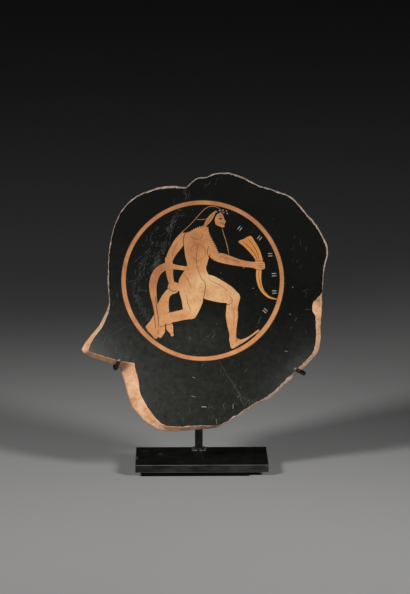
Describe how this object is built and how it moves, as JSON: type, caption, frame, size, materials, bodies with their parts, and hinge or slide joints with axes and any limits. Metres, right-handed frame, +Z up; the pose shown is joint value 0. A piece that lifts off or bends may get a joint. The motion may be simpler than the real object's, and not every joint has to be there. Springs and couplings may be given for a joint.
{
  "type": "kylix tondo fragment on display stand",
  "caption": "Curved sherd of a shallow drinking cup's floor with a ringed painted figure, broken all round, held upright by claws on a black steel plate-and-post stand.",
  "frame": {"origin": "on the surface the stand rests on, under the middle of the base plate", "axes": "+X to the viewer's right along the plate, +Y away from the viewer, from the painted side to the back, +Z up"},
  "size_m": [0.1819, 0.0552, 0.2264],
  "materials": {
    "gloss_on_clay": "glossy black slip on orange fired clay, with the ring and the figure left in the clay's colour",
    "black_steel": "satin black patina, a little worn at the edges",
    "pad_rubber": "matt black"
  },
  "bodies": {
    "root": {"cup_fragment": "gloss_on_clay", "base_plate": "black_steel", "base_pad": "pad_rubber", "stand_post": "black_steel", "claw_left": "black_steel", "claw_right": "black_steel"}
  },
  "joints": []
}
